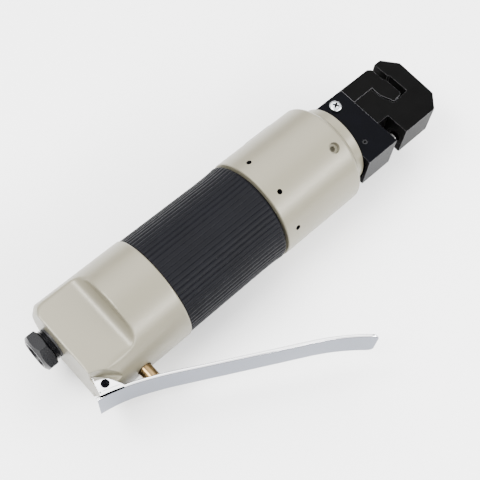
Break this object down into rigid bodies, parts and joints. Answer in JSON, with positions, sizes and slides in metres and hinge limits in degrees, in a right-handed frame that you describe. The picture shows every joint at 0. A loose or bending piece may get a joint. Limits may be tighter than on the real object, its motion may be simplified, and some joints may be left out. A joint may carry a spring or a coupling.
{
  "type": "pneumatic punch and flange tool",
  "caption": "Straight-barrel pneumatic punch and flange hand tool with a throttle lever, ribbed grip and a swivelling jaw head.",
  "frame": {"origin": "centre of the air inlet's mouth, at the back of the tool", "axes": "+X along the barrel towards the jaws, +Y away from the throttle lever, +Z along the lever's pivot pin; the tool lies on its side"},
  "size_m": [0.2531, 0.1235, 0.058],
  "materials": {
    "painted_housing": "satin champagne grey paint",
    "grip_rubber": "ribbed black rubber",
    "blackened_steel": "black oxide, satin",
    "jaw_steel": "black oxide, matt",
    "chrome": "polished chrome plate",
    "plain_steel": "ground steel",
    "spring_steel": "oiled spring wire",
    "zinc": "bright zinc plate",
    "bronze": "turned bronze",
    "brass": "turned brass",
    "alloy": "turned aluminium",
    "seal_rubber": "black nitrile rubber",
    "plate": "blank dark foil"
  },
  "bodies": {
    "barrel": {"rear_housing": "painted_housing", "inlet_bushing": "blackened_steel", "inlet_seal": "seal_rubber", "inlet_screen": "brass", "valve_bush": "bronze", "valve_seat": "brass", "valve_cap": "blackened_steel", "valve_spring": "spring_steel", "grip_sleeve": "grip_rubber", "cylinder_liner": "plain_steel", "rear_gasket": "seal_rubber", "front_gasket": "seal_rubber", "piston_bumper": "seal_rubber", "front_housing": "painted_housing", "rod_bush": "bronze", "rod_seal": "seal_rubber", "seal_retainer": "plain_steel", "lock_screw": "blackened_steel", "lever_pin": "blackened_steel", "name_plate": "plate", "return_spring": "spring_steel"},
    "lever": {"lever": "chrome"},
    "throttle": {"throttle_plunger": "bronze", "valve_poppet": "brass", "poppet_seal": "seal_rubber"},
    "piston": {"piston": "alloy", "piston_seal": "seal_rubber", "drive_rod": "plain_steel", "piston_nut": "zinc"},
    "head": {"head_base": "blackened_steel", "swivel_spigot": "blackened_steel", "swivel_ring": "seal_rubber", "spigot_screws": "zinc", "anvil_block": "jaw_steel", "die_insert": "plain_steel", "jaw_screws": "zinc", "grease_screw": "zinc", "rocker_pin": "plain_steel", "ram_springs": "spring_steel"},
    "rocker": {"rocker": "plain_steel", "roller_pin": "plain_steel"},
    "roller": {"drive_roller": "plain_steel"},
    "ram": {"ram_plate": "plain_steel", "punch": "plain_steel", "flange_die": "jaw_steel", "die_screw": "zinc"}
  },
  "joints": [
    {"name": "lever_pivot", "type": "hinge", "parent": "barrel", "child": "lever", "pos_m": [0.0142, -0.0358, 0], "axis": [0, 0, 1], "range_deg": [0, 8.5], "stiffness_Nm_per_rad": 2, "springref_deg": -5.73},
    {"name": "throttle_slide", "type": "slide", "parent": "barrel", "child": "throttle", "axis": [0, 1, 0], "range_m": [0, 0.0035], "deforming": ["valve_spring"]},
    {"name": "piston_slide", "type": "slide", "parent": "barrel", "child": "piston", "axis": [1, 0, 0], "range_m": [0, 0.026], "stiffness_N_per_m": 800, "springref_m": -0.01, "deforming": ["return_spring"]},
    {"name": "head_swivel", "type": "hinge", "parent": "barrel", "child": "head", "pos_m": [0.1762, -0.0105, 0], "axis": [1, 0, 0], "continuous": true},
    {"name": "rocker_pivot", "type": "hinge", "parent": "head", "child": "rocker", "pos_m": [0.2003, -0.0244, 0], "axis": [0, 0, 1], "range_deg": [0, 32.14]},
    {"name": "roller_spin", "type": "hinge", "parent": "rocker", "child": "roller", "pos_m": [0.1908, -0.0154, 0], "axis": [0, 0, 1], "continuous": true},
    {"name": "ram_slide", "type": "slide", "parent": "head", "child": "ram", "axis": [1, 0, 0], "range_m": [0, 0.00332], "deforming": ["ram_springs"]}
  ],
  "couplings": [
    {"joint": "throttle_slide", "follows": "lever_pivot", "m_per_rad": 0.0229},
    {"joint": "rocker_pivot", "follows": "piston_slide", "rad_per_m": 21.538},
    {"joint": "ram_slide", "follows": "piston_slide", "ratio": 0.12692}
  ]
}
